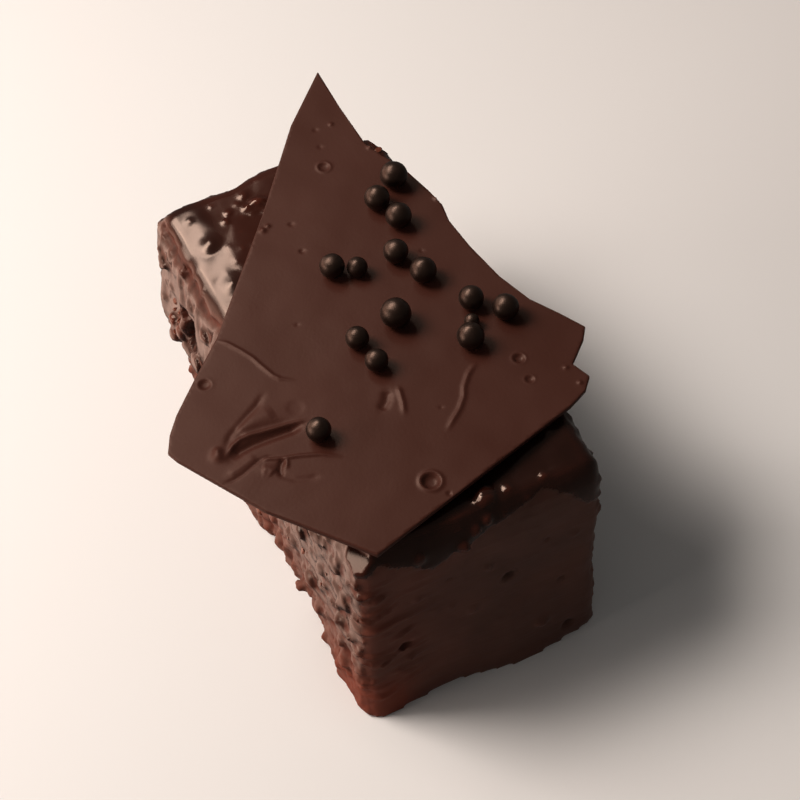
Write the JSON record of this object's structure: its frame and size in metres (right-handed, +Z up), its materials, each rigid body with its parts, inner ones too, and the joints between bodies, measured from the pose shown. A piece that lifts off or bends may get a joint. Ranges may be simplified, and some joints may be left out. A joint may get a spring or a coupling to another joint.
{
  "type": "chocolate crunch cake",
  "caption": "Small oblong cake under a dark chocolate glaze with nut bits, topped by a broken sheet of chocolate with a scatter of chocolate pearls.",
  "frame": {"origin": "middle of the cake's flat underside", "axes": "+Z up, +Y along the cake's length towards the sheet's pointed end, +X across the cake to the right"},
  "size_m": [0.0797, 0.1133, 0.0572],
  "materials": {
    "glaze": "glossy",
    "sheet_chocolate": "satin",
    "pearl_chocolate": "satin"
  },
  "bodies": {
    "root": {"cake": "glaze", "shard": "sheet_chocolate", "pearl_01": "pearl_chocolate", "pearl_02": "pearl_chocolate", "pearl_03": "pearl_chocolate", "pearl_04": "pearl_chocolate", "pearl_05": "pearl_chocolate", "pearl_06": "pearl_chocolate", "pearl_07": "pearl_chocolate", "pearl_08": "pearl_chocolate", "pearl_09": "pearl_chocolate", "pearl_10": "pearl_chocolate", "pearl_11": "pearl_chocolate", "pearl_12": "pearl_chocolate", "pearl_13": "pearl_chocolate", "pearl_14": "pearl_chocolate", "pearl_15": "pearl_chocolate"}
  },
  "joints": []
}
